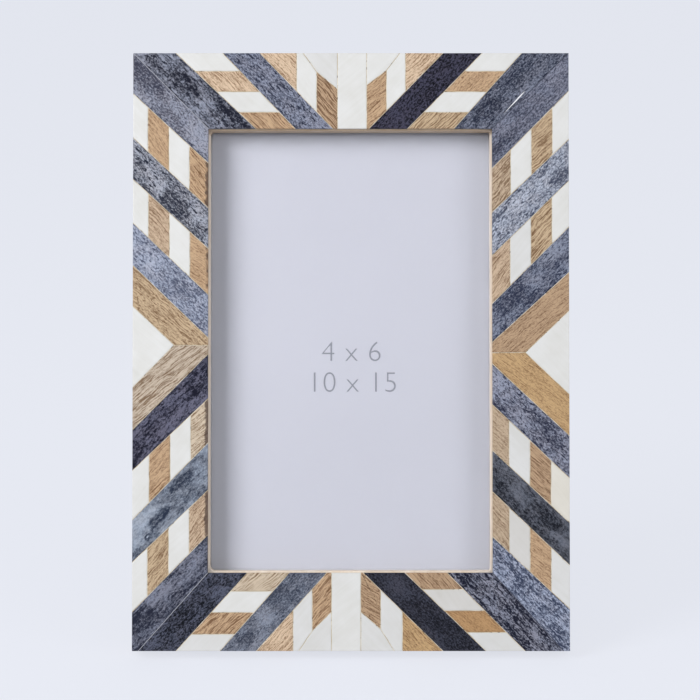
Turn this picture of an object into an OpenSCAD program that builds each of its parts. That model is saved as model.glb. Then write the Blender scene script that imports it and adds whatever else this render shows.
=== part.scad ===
// Picture frame with a mosaic face of bone and wood, standing on an easel leg.
// The frame is drawn upright: x to the right, y from the face at -depth to the rear at 0, z up the face.
// It then leans back and stands on its bottom rear edge and on the foot of its leg.

/* [Frame] */
// Width of the face
face_w = 146; // [140:1:156]
// Height of the face
face_h = 200; // [194:1:210]
// Thickness from the face to the rear
depth = 14; // [13:0.5:18]
// Lean back from upright, in degrees
lean = 14; // [10:1:18]
// Thickness of the front board
board_t = 6; // [5:0.5:6.5]
// Bare lip of the front board inside the mosaic
lip = 0.6; // [0.3:0.1:1.2]

/* [Mosaic] */
// Thickness of the tiles together with the filler bed under them
skin_t = 2; // [1.6:0.1:2.2]
// Thickness of the filler bed under the tiles
bed_t = 0.3; // [0.2:0.1:0.6]
// Width of the filled line between two tiles
joint_w = 0.2; // [0.1:0.05:0.4]
// Depth of the filled lines below the face
joint_drop = 0.05; // [0.02:0.01:0.2]
// Width of the mosaic on the left side
border_left = 25.2; // [24.5:0.1:26]
// Width of the mosaic on the right side
border_right = 25.7; // [24.5:0.1:26]
// Width of the mosaic on the top side
border_top = 25.4; // [24.5:0.1:26]
// Width of the mosaic on the bottom side
border_bottom = 26; // [24.5:0.1:26]

/* [Print and glass] */
// Width of the print
print_w = 101.6; // [99:0.1:103]
// Height of the print
print_h = 152.4; // [151:0.1:154]
// Room between the print and the rebate, on each side
rebate_room = 1.2; // [0.8:0.1:1.6]
// Thickness of the glass
glass_t = 2; // [1.5:0.1:2.2]
// Thickness of the printed insert
insert_t = 0.3; // [0.2:0.05:0.5]
// Depth of the flocked backing below the rear of the rails
backing_drop = 0.3; // [0.2:0.1:0.6]

/* [Easel leg] */
// Height of the hinge pin above the bottom edge
pin_z = 118; // [105:1:125]
// Angle between the open leg and the backing, in degrees
leg_open = 25; // [20:1:30]
// Thickness of the leg
leg_t = 3; // [2.5:0.1:3.5]
// Width of the leg at the hinge
leg_top_w = 28; // [26:1:34]
// Width of the leg at the foot
leg_foot_w = 42; // [34:1:50]
// Height where the ribbon leaves the backing
ribbon_z = 48; // [44:1:52]
// Distance from the pin to where the ribbon reaches the leg
ribbon_reach = 62; // [60:1:64]

/* [Turn buttons] */
// Length of a turn button between the centres of its round ends
button_l = 12; // [10:0.5:15]
// Distance of each button from the middle of the window, up and down
button_z = 42; // [30:1:55]

/* [Hidden] */
SIDE = ["left", "right", "top", "bottom"];
LONG = [0, 1];
BORDER = [border_left, border_right, border_top, border_bottom];
SIDE_LEN = [face_h, face_h, face_w, face_w];
eps = 0.01;
half_joint = joint_w / 2;
tile_t = skin_t - bed_t;
pitch = face_h / 14;

// Diagonal joint lines, counted from the top or left end of a side. Line 7 of a long side is level.
LINES = [13, 13, 6, 6];
// How far each hand-laid line strays from the even pitch along the side, at the outer edge
STRAY_OUT = [
    [-0.6, -0.1, -0.4, -0.1, -0.1, -0.7, -1.9, -2.1, -2.3, -2.9, -0.8, -0.9, 1.3],
    [-1.5, 0.4, 0.1, 1.2, 2.2, 0.8, 0.6, 0.2, -0.3, -0.4, 0.2, 0.1, 0.3],
    [0, 1.4, -0.4, 0.7, -0.4, -1.5],
    [0.4, 0.7, -1.4, 0.5, 0.6, -0.7]
];
// The same at the inner end of each line
STRAY_IN = [
    [-2.5, -1.8, -2.4, -1.3, -1.1, -2.3, -1.9, -2.6, -2.4, -1.7, -1.3, 0.3, 0.8],
    [-1.2, -0.8, -0.6, 1.2, -0.1, -0.4, 0.6, 1.4, 1.4, 0.8, 1.8, 1.3, 2],
    [1.5, 0.3, -1.3, 1.3, 0, 1.2],
    [-1.8, -2.2, -3.9, -0.1, -0.4, -0.7]
];
// First line of each grey strip between the corners, and of each band of small tiles
STRIP_LINES = [[2, 4, 9, 11], [2, 4, 9, 11], [2, 4], [2, 4]];
BAND_LINES = [[1, 3, 10, 12], [1, 3, 10, 12], [1, 5], [1, 5]];
// Widths of the first three tiles of a band, from the outer edge, and how far each band is laid further in
TILE_W = [[5.2, 7, 6.9], [5.9, 7, 7], [6.1, 6.9, 6.9], [5.9, 7.2, 7.1]];
BAND_SHIFT = [[-0.2, 0, 0.4, -0.1], [-0.4, -0.2, 0.3, 0.3], [0, 0], [-0.3, 0.3]];
// Upright joints of the middle motif on the top and the bottom side
MOTIF = [[54.8, 61.5, 68.5, 78.3, 84.9, 91.3], [53.7, 60.1, 66.5, 76.3, 82.9, 90.2]];
// Depth of the outer edge of the motif's wood tiles, at their outer and inner joint, left then right
MOTIF_EDGE = [[[6.3, 12.1], [5.8, 10.8]], [[6.7, 13], [7.3, 13]]];
// Length of the short slanted joint between two white pieces of the motif, along the side
motif_slant = 4.6;
// How far the mitre of each bottom corner ends from the corner, along the bottom edge
mitre_stray = 2;
// Darkness of each grey strip, from light to dark
STRIP_TONE = [
    [0.5, 0.4, 0.3, 0.9, 0.5, 0.6], [0.5, 0.3, 0.7, 0.5, 0.8, 0.3],
    [0.7, 0.4, 0.95, 0.6], [0.9, 0.5, 0.95, 0.6]
];

window_l = border_left + lip;
window_r = face_w - border_right - lip;
window_b = border_bottom + lip;
window_t = face_h - border_top - lip;
mid_x = (window_l + window_r) / 2;
mid_z = (window_b + window_t) / 2;
// Radius of the window's corners as the cutter left them: bottom left, bottom right, top right, top left
WINDOW_R = [1.7, 0.6, 0.5, 1.2];
rebate_w = print_w + 2 * rebate_room;
rebate_h = print_h + 2 * rebate_room;
rebate_l = mid_x - rebate_w / 2;
rebate_r = mid_x + rebate_w / 2;
rebate_b = mid_z - rebate_h / 2;
rebate_t = mid_z + rebate_h / 2;
rail_t = depth - skin_t - board_t;
backing_t = rail_t - glass_t - insert_t - backing_drop;
pane_room = 0.5;

leaf_t = 0.7;
leaf_w = 26;
leaf_h = 10;
knuckle_r = 1.4;
knuckle_half = 4.5;
knuckle_gap = 0.15;
pin_r = 0.7;
pin_room = 0.05;
hinge_gap = 0.3;
pin_y = -backing_drop + hinge_gap + knuckle_r;
leaf_clear = 1.9;
leg_top = 2.2;
leg_front = leaf_t - knuckle_r;
leg_back = leg_front + leg_t;

rivet_r = 0.9;
rivet_head_r = 1.7;
rivet_head_h = 0.5;
rivet_x = 9;
rivet_z = 6.5;
board_rivet_l = 2.5;
ribbon_w = 10;
ribbon_t = 0.4;
ribbon_tab = 10;
board_tab_z = ribbon_z - ribbon_tab / 2;
leg_tab_z = ribbon_tab / 2 - ribbon_reach;

button_t = 1.2;
button_gap = 0.1;
button_root_r = 3.4;
button_tip_r = 3;
button_bore = 1.6;
button_in = 5;
screw_r = 1.5;
screw_l = 4.8;
screw_head_r = 2.8;
screw_head_h = 1.1;

strap_w = 9;
strap_l = 14;
strap_t = 0.7;
loop_r = 1.6;
loop_bore = 0.85;
loop_drop = 6.5;
strap_screw_drop = 8;
strap_screw_r = 1.2;
strap_screw_head_r = 2.4;
strap_screw_head_h = 0.7;
wire_r = 0.75;
ring_half = 7;
ring_l = 13;
loop_z = face_h - loop_drop;

// The part stands with the middle of its footprint at the origin
foot_tilt = leg_open - lean;
pin_back = pin_y * cos(lean) + pin_z * sin(lean);
pin_up = pin_z * cos(lean) - pin_y * sin(lean);
foot_rear = pin_back + leg_back * cos(foot_tilt)
    + (pin_up + leg_back * sin(foot_tilt)) * tan(foot_tilt);
shift_y = -(foot_rear - depth * cos(lean)) / 2;

// Point on the face from its place on a side: [distance along the side, distance in from the outer edge]
function on_face(s, p) = s == 0 ? [p[1], face_h - p[0]] : s == 1 ? [face_w - p[1], face_h - p[0]]
    : s == 2 ? [p[0], face_h - p[1]] : p;

function slope(s, k) = sign((LINES[s] + 1) / 2 - k);
function even_at(s, k) = slope(s, k) < 0 ? SIDE_LEN[s] - (LINES[s] + 1 - k) * pitch : k * pitch;
function out_at(s, k) = even_at(s, k) + STRAY_OUT[s][k - 1];
function in_at(s, k) = even_at(s, k) + slope(s, k) * BORDER[s] + STRAY_IN[s][k - 1];
function run_of(s, k) = (in_at(s, k) - out_at(s, k)) / BORDER[s];
// Place of line k at depth d, and the depth of line k at place a
function at_depth(s, k, d) = [out_at(s, k) + run_of(s, k) * d, d];
function depth_at(s, k, a) = (a - out_at(s, k)) / run_of(s, k);

// Piece between lines j and k, from depth d0 to depth d1
function between(s, j, k, d0, d1) =
    [at_depth(s, j, d0), at_depth(s, j, d1), at_depth(s, k, d1), at_depth(s, k, d0)];
function outer() = -half_joint;
function inner(s) = BORDER[s] + half_joint;

// Strips that meet at the mitre of a corner. Only the mitres of the bottom corners stray.
function near_border(s, last) = s < 2 ? BORDER[last ? 3 : 2] : BORDER[last ? 1 : 0];
function corner_strip(s, last) =
    let (end = last ? SIDE_LEN[s] + half_joint : -half_joint, way = last ? -1 : 1,
         k = last ? LINES[s] : 1, stray = (s < 2 && last) || s == 3 ? mitre_stray : 0,
         mitre_in = [end + way * (near_border(s, last) + joint_w), inner(s)])
    concat(
        s == 3 ? [[end + way * (stray + half_joint), outer()]] : [[end, outer()]],
        s < 2 && last ? [[end, stray]] : [],
        [mitre_in, at_depth(s, k, inner(s)), at_depth(s, k, outer())]);
function strips(s) = concat(
    [corner_strip(s, false)],
    [for (k = STRIP_LINES[s]) between(s, k, k + 1, outer(), inner(s))],
    [corner_strip(s, true)]);

// Chevron of a long side: two arms that meet on the level line, and the triangle between them
function apex_depth(s) = (out_at(s, 8) - out_at(s, 6)) / (run_of(s, 6) - run_of(s, 8));
function apex(s) = at_depth(s, 6, apex_depth(s));
function arm(s, far, near) = [
    at_depth(s, far, outer()), at_depth(s, far, inner(s)), [in_at(s, 7), inner(s)],
    apex(s), at_depth(s, near, outer())];
function triangle(s) = [at_depth(s, 6, outer()), apex(s), at_depth(s, 8, outer())];

// Small tiles of the bands: white and wood take turns from the outer edge in
function band_depth(s, b, i) = i == 0 ? outer() : i == 4 ? inner(s)
    : BAND_SHIFT[s][b] + TILE_W[s][0] + (i > 1 ? TILE_W[s][1] : 0) + (i > 2 ? TILE_W[s][2] : 0);
function band_tiles(s, first) = [for (b = [0:len(BAND_LINES[s]) - 1], i = [first, first + 2])
    let (k = BAND_LINES[s][b]) between(s, k, k + 1, band_depth(s, b, i), band_depth(s, b, i + 1))];

// Motif in the middle of a short side. half 0 is the left one, and joints are taken from the outside in.
function motif_joint(s, half, i) = MOTIF[s - 2][half == 0 ? i : 5 - i];
function motif_wood(s, half) =
    let (k = 3 + half, a = motif_joint(s, half, 0), b = motif_joint(s, half, 1), c = motif_joint(s, half, 2),
         edge = MOTIF_EDGE[s - 2][half])
    [[at_depth(s, k, outer()), [a, outer()], [a, depth_at(s, k, a)]],
     [[b, edge[0]], [c, edge[1]], [c, inner(s)], at_depth(s, k, inner(s)), [b, depth_at(s, k, b)]]];
function motif_bone(s, half) =
    let (k = 3 + half, a = motif_joint(s, half, 0), b = motif_joint(s, half, 1), c = motif_joint(s, half, 2),
         edge = MOTIF_EDGE[s - 2][half], slant = b - sign(b - a) * motif_slant)
    [[[a, outer()], [slant, outer()], [b, edge[0]], [b, depth_at(s, k, b)], [a, depth_at(s, k, a)]],
     [[slant, outer()], [c, outer()], [c, edge[1]], [b, edge[0]]]];
function motif_middle(s) = let (a = motif_joint(s, 0, 2), b = motif_joint(s, 1, 2))
    [[a, outer()], [b, outer()], [b, inner(s)], [a, inner(s)]];

function bone_tiles(s) = concat(band_tiles(s, 0),
    s < 2 ? [] : concat(motif_bone(s, 0), [motif_middle(s)], motif_bone(s, 1)));
function wood_tiles(s) = concat(band_tiles(s, 1), s < 2 ? [] : concat(motif_wood(s, 0), motif_wood(s, 1)));
function all_tiles(s) = concat(strips(s), bone_tiles(s), wood_tiles(s),
    s < 2 ? [arm(s, 5, 6), arm(s, 9, 8), triangle(s)] : []);

// Outline with every edge moved in by g
function unit(v) = v / norm(v);
function left_of(v) = [-v[1], v[0]];
function area_of(p, n) = [for (i = [0:n - 1]) cross(p[i], p[(i + 1) % n])] * [for (i = [1:n]) 0.5];
function inset(p, g) = let (n = len(p), turn = sign(area_of(p, n)))
    [for (i = [0:n - 1]) let (
        u = turn * left_of(unit(p[i] - p[(i + n - 1) % n])),
        v = turn * left_of(unit(p[(i + 1) % n] - p[i])))
        p[i] + g * (u + v) / (1 + u * v)];
function outline(s, tile) = inset([for (p = tile) on_face(s, p)], half_joint);

// Moves the upright frame to where it stands
module standing() translate([0, shift_y, 0]) rotate([-lean, 0, 0]) translate([-face_w / 2, 0, 0]) children();

// Flat plate in the plane of the face, t thick, with its rear at y
module plate(y, t) translate([0, y, 0]) rotate([90, 0, 0]) linear_extrude(t) children();

// Round bar along y, from y0 back to y1
module bar(x, z, y0, y1, r, r_end = 0) translate([x, y0, z]) rotate([-90, 0, 0])
    cylinder(h = y1 - y0, r1 = r, r2 = r_end > 0 ? r_end : r, $fn = 48);

// Round bar along x, centred, l long
module axle(r, l) rotate([0, 90, 0]) cylinder(h = l, r = r, center = true, $fn = 48);

module block(x0, x1, y0, y1, z0, z1) translate([x0, y0, z0]) cube([x1 - x0, y1 - y0, z1 - z0]);

module tiles(s, list) standing() for (t = list)
    plate(-depth + tile_t, tile_t) polygon(outline(s, t));

module bone_strip(s, i) color([0.62, 0.66, 0.74] * (1 - 0.7 * STRIP_TONE[s][i])) tiles(s, [strips(s)[i]]);
module wood_arm(s, lower) color([0.74, 0.62, 0.48]) tiles(s, [lower ? arm(s, 9, 8) : arm(s, 5, 6)]);
module bone_triangle(s) color([0.92, 0.92, 0.9]) tiles(s, [triangle(s)]);
module small_bone(s) color([0.92, 0.92, 0.9]) tiles(s, bone_tiles(s));
module small_wood(s) color([0.78, 0.66, 0.5]) tiles(s, wood_tiles(s));

module resin_filler() color([0.8, 0.74, 0.64]) standing() difference() {
    block(0, face_w, -depth + joint_drop, -depth + skin_t, 0, face_h);
    block(border_left, face_w - border_right, -depth - 1, -depth + skin_t + 1,
        border_bottom, face_h - border_top);
    for (s = [0:3], t = all_tiles(s)) plate(-depth + tile_t, tile_t + 1) polygon(outline(s, t));
}

// Window with a corner radius of its own at each corner
module window(y0, y1) {
    x = [window_l, window_r, window_r, window_l];
    z = [window_b, window_b, window_t, window_t];
    sx = [1, -1, -1, 1];
    sz = [1, 1, -1, -1];
    for (i = [0:3]) bar(x[i] + sx[i] * WINDOW_R[i], z[i] + sz[i] * WINDOW_R[i], y0, y1, WINDOW_R[i]);
    plate(y1, y1 - y0) polygon([for (i = [0:3], end = [0, 1]) let (along_z = (i + end) % 2 == 0)
        [x[i] + (along_z ? 0 : sx[i] * WINDOW_R[i]), z[i] + (along_z ? sz[i] * WINDOW_R[i] : 0)]]);
}

module front_board() color([0.85, 0.73, 0.6]) standing() difference() {
    block(0, face_w, -depth + skin_t, -rail_t, 0, face_h);
    window(-depth, 0);
}

// Pilot holes of the two turn button screws in a side rail
module button_pilots(x) for (up = [-1, 1])
    bar(x, mid_z + up * button_z, button_gap + button_t + button_gap - screw_l, 1, screw_r);

module left_rail() color([0.8, 0.66, 0.5]) standing() difference() {
    block(0, rebate_l, -rail_t, 0, 0, face_h);
    button_pilots(rebate_l - button_in);
}

module right_rail() color([0.8, 0.66, 0.5]) standing() difference() {
    block(rebate_r, face_w, -rail_t, 0, 0, face_h);
    button_pilots(rebate_r + button_in);
}

module top_rail() color([0.8, 0.66, 0.5]) standing() difference() {
    block(rebate_l, rebate_r, -rail_t, 0, rebate_t, face_h);
    bar(mid_x, loop_z - strap_screw_drop, strap_t - screw_l, 1, strap_screw_r);
}

module bottom_rail() color([0.8, 0.66, 0.5]) standing()
    block(rebate_l, rebate_r, -rail_t, 0, 0, rebate_b);

// Sheet that lies in the rebate with room all round, its rear at y
module pane(y, t, room) block(rebate_l + room, rebate_r - room, y - t, y, rebate_b + room, rebate_t - room);

module glass_pane() color([0.8, 0.85, 0.9, 0.4]) standing() pane(glass_t - rail_t, glass_t, pane_room);

module photo_insert() color([0.82, 0.83, 0.88]) standing()
    pane(glass_t + insert_t - rail_t, insert_t, rebate_room);

module backing_board() color([0.1, 0.1, 0.11]) standing() difference() {
    pane(-backing_drop, backing_t, pane_room);
    board_rivets_at() bar(0, 0, -board_rivet_l, 1, rivet_r);
}

// Places of the rivets in the backing, two in the hinge leaf and one in the ribbon, x and z only
module board_rivets_at() {
    for (x = [-rivet_x, rivet_x]) translate([mid_x + x, 0, pin_z + rivet_z]) children();
    translate([mid_x, 0, board_tab_z]) children();
}

// Frame of reference of the hinge: the pin lies along x through the origin
module at_pin() standing() translate([mid_x, pin_y, pin_z]) children();
module on_leg() at_pin() rotate([leg_open, 0, 0]) children();

// Knuckles that share the pin: the outer pair, or the one between them
module outer_knuckles(r) for (side = [-1, 1]) translate([side * (leaf_w / 2 + knuckle_half) / 2, 0, 0])
    axle(r, leaf_w / 2 - knuckle_half - knuckle_gap);
module middle_knuckle(r) axle(r, 2 * (knuckle_half - knuckle_gap));

module hinge_board_leaf() color([0.75, 0.75, 0.76]) at_pin() difference() {
    y0 = -knuckle_r - hinge_gap;
    inner_x = knuckle_half + knuckle_gap / 2;
    outer_x = (leaf_w - knuckle_gap) / 2;
    union() {
        block(-outer_x, outer_x, y0, y0 + leaf_t, leaf_clear, leaf_h);
        for (side = [0, 1]) mirror([side, 0, 0])
            block(inner_x, outer_x, y0, y0 + leaf_t, 0, leaf_clear + eps);
        outer_knuckles(knuckle_r);
    }
    axle(pin_r, leaf_w + 1);
    for (x = [-rivet_x, rivet_x]) bar(x, rivet_z, -knuckle_r * 2, 0, rivet_r);
}

module hinge_leg_leaf() color([0.75, 0.75, 0.76]) on_leg() difference() {
    union() {
        block(-leaf_w / 2, leaf_w / 2, -knuckle_r, leg_front, -leaf_h, -leaf_clear);
        block(-knuckle_half + knuckle_gap, knuckle_half - knuckle_gap, -knuckle_r, leg_front,
            -leaf_clear - eps, 0);
        middle_knuckle(knuckle_r);
    }
    axle(pin_r + pin_room, leaf_w);
    for (x = [-rivet_x, rivet_x]) bar(x, -rivet_z, -knuckle_r * 2, 0, rivet_r);
}

module hinge_pin() color([0.6, 0.6, 0.62]) at_pin() axle(pin_r, leaf_w);

// The foot of the leg is cut level, so that it stands flat
module easel_leg() color([0.1, 0.1, 0.11]) difference() {
    on_leg() difference() {
        plate(leg_back, leg_t) polygon([
            [-leg_top_w / 2, -leg_top], [leg_top_w / 2, -leg_top],
            [leg_foot_w / 2, -pin_z - 10], [-leg_foot_w / 2, -pin_z - 10]]);
        for (x = [-rivet_x, rivet_x]) bar(x, -rivet_z, -leg_t, leg_t, rivet_r);
        bar(0, leg_tab_z, -leg_t, leg_t, rivet_r);
    }
    translate([-face_w / 2, 0, -face_w]) cube([face_w, face_w, face_w]);
}

module rivet(x, z, y_end, y_head) {
    bar(x, z, y_end, y_head, rivet_r);
    bar(x, z, y_head, y_head + rivet_head_h, rivet_head_r, rivet_head_r * 0.7);
}

module board_rivets() color([0.8, 0.8, 0.8]) standing() {
    for (x = [-rivet_x, rivet_x])
        rivet(mid_x + x, pin_z + rivet_z, -board_rivet_l, leaf_t - backing_drop);
    rivet(mid_x, board_tab_z, -board_rivet_l, ribbon_t - backing_drop);
}

module leg_rivets() color([0.8, 0.8, 0.8]) on_leg() {
    for (x = [-rivet_x, rivet_x]) rivet(x, -rivet_z, -knuckle_r, leg_back);
    rivet(0, leg_tab_z, leg_front - ribbon_t, leg_back);
}

// Band of even thickness along a path of [y, z] points
function band(path, t) = let (n = len(path) - 1,
    side = [for (i = [0:n]) let (
        u = left_of(unit(path[max(i, 1)] - path[max(i, 1) - 1])),
        v = left_of(unit(path[min(i, n - 1) + 1] - path[min(i, n - 1)])))
        t / 2 * (u + v) / (1 + u * v)])
    concat([for (i = [0:n]) path[i] + side[i]], [for (i = [n:-1:0]) path[i] - side[i]]);
// Point of the upright frame at distance s down the leg, half the ribbon in front of it
function leg_point(s) = let (y = leg_front - ribbon_t / 2)
    [pin_y + y * cos(leg_open) + s * sin(leg_open), pin_z + y * sin(leg_open) - s * cos(leg_open)];
ribbon_path = [
    [ribbon_t / 2 - backing_drop, ribbon_z - ribbon_tab], [ribbon_t / 2 - backing_drop, ribbon_z],
    leg_point(ribbon_reach), leg_point(ribbon_reach - ribbon_tab)];

module ribbon_stay() color([0.12, 0.12, 0.13]) difference() {
    standing() translate([mid_x - ribbon_w / 2, 0, 0]) rotate([90, 0, 90])
        linear_extrude(ribbon_w) polygon(band(ribbon_path, ribbon_t));
    standing() bar(mid_x, board_tab_z, -1, 1, rivet_r);
    on_leg() bar(0, leg_tab_z, -leg_t, 0, rivet_r);
}

// Buttons 1 and 2 are on the left rail, 3 and 4 on the right one, the upper one first
function button_side(i) = i > 2 ? -1 : 1;
function button_x(i) = i > 2 ? rebate_r + button_in : rebate_l - button_in;
function button_up(i) = mid_z + (i % 2 == 1 ? button_z : -button_z);

module turn_button(i) color([0.78, 0.68, 0.42]) standing() translate([button_x(i), 0, button_up(i)])
    mirror([1 - max(button_side(i), 0), 0, 0]) {
        y0 = button_gap;
        difference() {
            union() {
                bar(0, 0, y0, y0 + button_t, button_root_r);
                bar(button_l, 0, y0, y0 + button_t, button_tip_r);
                plate(y0 + button_t, button_t) polygon([
                    [0, -button_root_r], [button_l, -button_tip_r],
                    [button_l, button_tip_r], [0, button_root_r]]);
            }
            bar(0, 0, y0 - 1, y0 + button_t + 1, button_bore);
        }
    }

// Screw with a cross slot. The underside of its head is at y.
module screw(x, z, y, r, head_r, head_h) difference() {
    union() {
        bar(x, z, y - screw_l, y, r);
        bar(x, z, y, y + head_h, head_r, head_r * 0.72);
    }
    for (turn = [0, 90]) translate([x, y + head_h, z]) rotate([0, turn, 0])
        cube([head_r * 1.1, head_h, 0.5], center = true);
}

module turn_button_screws() color([0.8, 0.7, 0.45]) standing() for (i = [1:4])
    screw(button_x(i), button_up(i), button_gap + button_t + button_gap, screw_r, screw_head_r, screw_head_h);

module hanger_strap() color([0.78, 0.68, 0.42]) standing() translate([mid_x, 0, loop_z]) difference() {
    union() {
        block(-strap_w / 2, strap_w / 2, 0, strap_t, -strap_l, 0);
        translate([0, loop_r, 0]) axle(loop_r, strap_w);
    }
    translate([0, loop_r, 0]) axle(loop_bore, strap_w + 1);
    bar(0, -strap_screw_drop, -1, strap_t + 1, strap_screw_r);
}

module hanger_screw() color([0.8, 0.7, 0.45]) standing()
    screw(mid_x, loop_z - strap_screw_drop, strap_t, strap_screw_r, strap_screw_head_r, strap_screw_head_h);

// Wire ring, which hangs straight down from the loop of the strap
module wire_ring() {
    axle(wire_r, 2 * ring_half);
    for (side = [-1, 1]) translate([side * ring_half, 0, 0]) {
        sphere(r = wire_r, $fn = 48);
        rotate([0, side * (180 + atan(ring_half / ring_l)), 0])
            cylinder(h = norm([ring_half, ring_l]), r = wire_r, $fn = 48);
    }
    translate([0, 0, -ring_l]) sphere(r = wire_r, $fn = 48);
}

module hanger_ring() color([0.8, 0.7, 0.45]) standing()
    translate([mid_x, loop_r, loop_z]) rotate([lean, 0, 0]) wire_ring();

function strip_name(s, i) = str(SIDE[s], "_bone_strip_", i + 1);

for (s = [0:3]) {
    for (i = [0:len(strips(s)) - 1]) bone_strip(s, i);
    small_bone(s);
    small_wood(s);
}
for (s = LONG) {
    wood_arm(s, false);
    wood_arm(s, true);
    bone_triangle(s);
}
resin_filler();
front_board();
left_rail();
right_rail();
top_rail();
bottom_rail();
glass_pane();
photo_insert();
backing_board();
hinge_board_leaf();
hinge_leg_leaf();
hinge_pin();
easel_leg();
board_rivets();
leg_rivets();
ribbon_stay();
for (i = [1:4]) turn_button(i);
turn_button_screws();
hanger_strap();
hanger_screw();
hanger_ring();
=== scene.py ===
import math
import random

import bmesh
import bpy
from mathutils import Matrix, Vector, noise


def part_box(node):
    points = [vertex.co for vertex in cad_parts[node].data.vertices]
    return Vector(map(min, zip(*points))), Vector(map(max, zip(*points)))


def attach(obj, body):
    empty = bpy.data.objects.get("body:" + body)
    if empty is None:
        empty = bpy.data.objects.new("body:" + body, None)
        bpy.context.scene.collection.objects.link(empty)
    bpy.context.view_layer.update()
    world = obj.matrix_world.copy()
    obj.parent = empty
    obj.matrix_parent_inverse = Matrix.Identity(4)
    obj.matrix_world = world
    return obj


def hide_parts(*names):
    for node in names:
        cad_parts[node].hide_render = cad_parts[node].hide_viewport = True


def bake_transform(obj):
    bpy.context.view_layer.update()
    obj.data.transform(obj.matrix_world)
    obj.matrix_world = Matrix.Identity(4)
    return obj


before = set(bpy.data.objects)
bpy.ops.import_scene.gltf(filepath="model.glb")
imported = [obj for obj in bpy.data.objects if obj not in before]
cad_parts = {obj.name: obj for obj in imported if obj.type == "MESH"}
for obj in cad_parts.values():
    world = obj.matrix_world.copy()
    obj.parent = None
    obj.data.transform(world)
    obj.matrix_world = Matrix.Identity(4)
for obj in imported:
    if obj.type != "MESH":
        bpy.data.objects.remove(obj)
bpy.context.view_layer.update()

mm = 0.001

# How the frame stands: it leans back on its leg. Places on the face are in mm, across and down from
# its top left corner, and back from its front.
stand = {"lean": math.radians(14), "shift": -20.426912, "width": 146.0, "height": 200.0,
         "depth": 14.0}
rearWay = Vector((0, math.cos(stand["lean"]), -math.sin(stand["lean"])))
upWay = Vector((0, math.sin(stand["lean"]), math.cos(stand["lean"])))


def placeOf(across, down, back=0.0):  # a place on the face, to metres in the shared frame
    y, z = back - stand["depth"], stand["height"] - down
    return (Vector((across - stand["width"] / 2, stand["shift"], 0)) + rearWay * y + upWay * z) * mm


def faceOf(point):  # the other way round
    p = Vector(point) / mm - Vector((-stand["width"] / 2, stand["shift"], 0))
    return p.x, stand["height"] - p.dot(upWay), p.dot(rearWay) + stand["depth"]


def tint(*colour):  # a colour as seen on a screen, 0 to 255, to the shader's linear values
    return tuple(((c / 255 + 0.055) / 1.055) ** 2.4 if c > 10 else c / 255 / 12.92
                 for c in colour) + (1.0,)


# Shader building blocks


def fill(tree, node, values):  # links the sockets and sets the other values
    for key, value in values.items():
        if isinstance(value, bpy.types.NodeSocket):
            tree.links.new(value, node.inputs[key])
        else:
            node.inputs[key].default_value = value
    return node


def add(tree, kind, inputs=None, **settings):
    made = tree.nodes.new("ShaderNode" + kind)
    for name, value in settings.items():
        setattr(made, name, value)
    return fill(tree, made, inputs or {})


def calc(tree, operation, a, b=0.0, clamp=False):
    return add(tree, "Math", {0: a, 1: b}, operation=operation, use_clamp=clamp).outputs[0]


def times(tree, a, b):
    return calc(tree, "MULTIPLY", a, b)


def total(tree, *terms):  # sum of (socket, factor) pairs
    result = None
    for socket, factor in terms:
        part = times(tree, socket, factor)
        result = part if result is None else calc(tree, "ADD", result, part)
    return result


def level(tree, base, *terms, clamp=False):  # the same, on top of a base value
    return calc(tree, "ADD", base, total(tree, *terms), clamp)


def move(tree, operation, a, b):
    return add(tree, "VectorMath", {0: a, 1: b}, operation=operation).outputs[0]


def attribute(tree, name, output="Color"):
    return add(tree, "Attribute", attribute_name=name).outputs[output]


def blendColours(tree, factor, a, b, way="MIX"):  # sockets 6 and 7 are the node's two colours
    return add(tree, "Mix", {0: factor, 6: a, 7: b}, data_type="RGBA", blend_type=way).outputs[2]


def rough(tree, vector, scale, detail=3.0, fine=0.55, stretch=(1, 1, 1), bend=0.0):
    # noise that is drawn out along the grain, put round 0
    spread = add(tree, "Mapping", {"Vector": vector, "Scale": stretch}).outputs[0]
    made = add(tree, "TexNoise", {"Vector": spread, "Scale": scale, "Detail": detail,
                                  "Roughness": fine, "Distortion": bend})
    return calc(tree, "SUBTRACT", made.outputs[0], 0.5)


def step(tree, value, low, high, least=0.0, most=1.0, way="SMOOTHSTEP"):
    made = add(tree, "MapRange", {"Value": value, "From Min": low, "From Max": high,
                                  "To Min": least, "To Max": most}, interpolation_type=way)
    return made.outputs[0]


def newGroup(name, *inputs):  # inputs: name, type and default; it gives what finishSurface takes
    tree = bpy.data.node_groups.new(name, "ShaderNodeTree")
    for label, kind, value in inputs:
        socket = tree.interface.new_socket(label, in_out="INPUT", socket_type="NodeSocket" + kind)
        if value is not None:
            socket.default_value = value
    for label, kind in (("Color", "Color"), ("Roughness", "Float"), ("Height", "Float")):
        tree.interface.new_socket(label, in_out="OUTPUT", socket_type="NodeSocket" + kind)
    return tree, tree.nodes.new("NodeGroupInput").outputs, tree.nodes.new("NodeGroupOutput")


def useGroup(tree, group, values):
    return add(tree, "Group", values, node_tree=group).outputs


def newMaterial(name, constants):
    material = bpy.data.materials.new(name)
    material.use_nodes = True
    tree = material.node_tree
    return material, tree, fill(tree, tree.nodes["Principled BSDF"], constants)


def finishSurface(tree, shader, look, bump, strength=1.0):  # look: Color, Roughness and Height
    bumped = add(tree, "Bump", {"Height": look["Height"], "Distance": bump * mm,
                                "Strength": strength})
    fill(tree, shader, {"Base Color": look["Color"], "Roughness": look["Roughness"],
                        "Normal": bumped.outputs[0]})


spotNumbers = range(1, 6)


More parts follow.
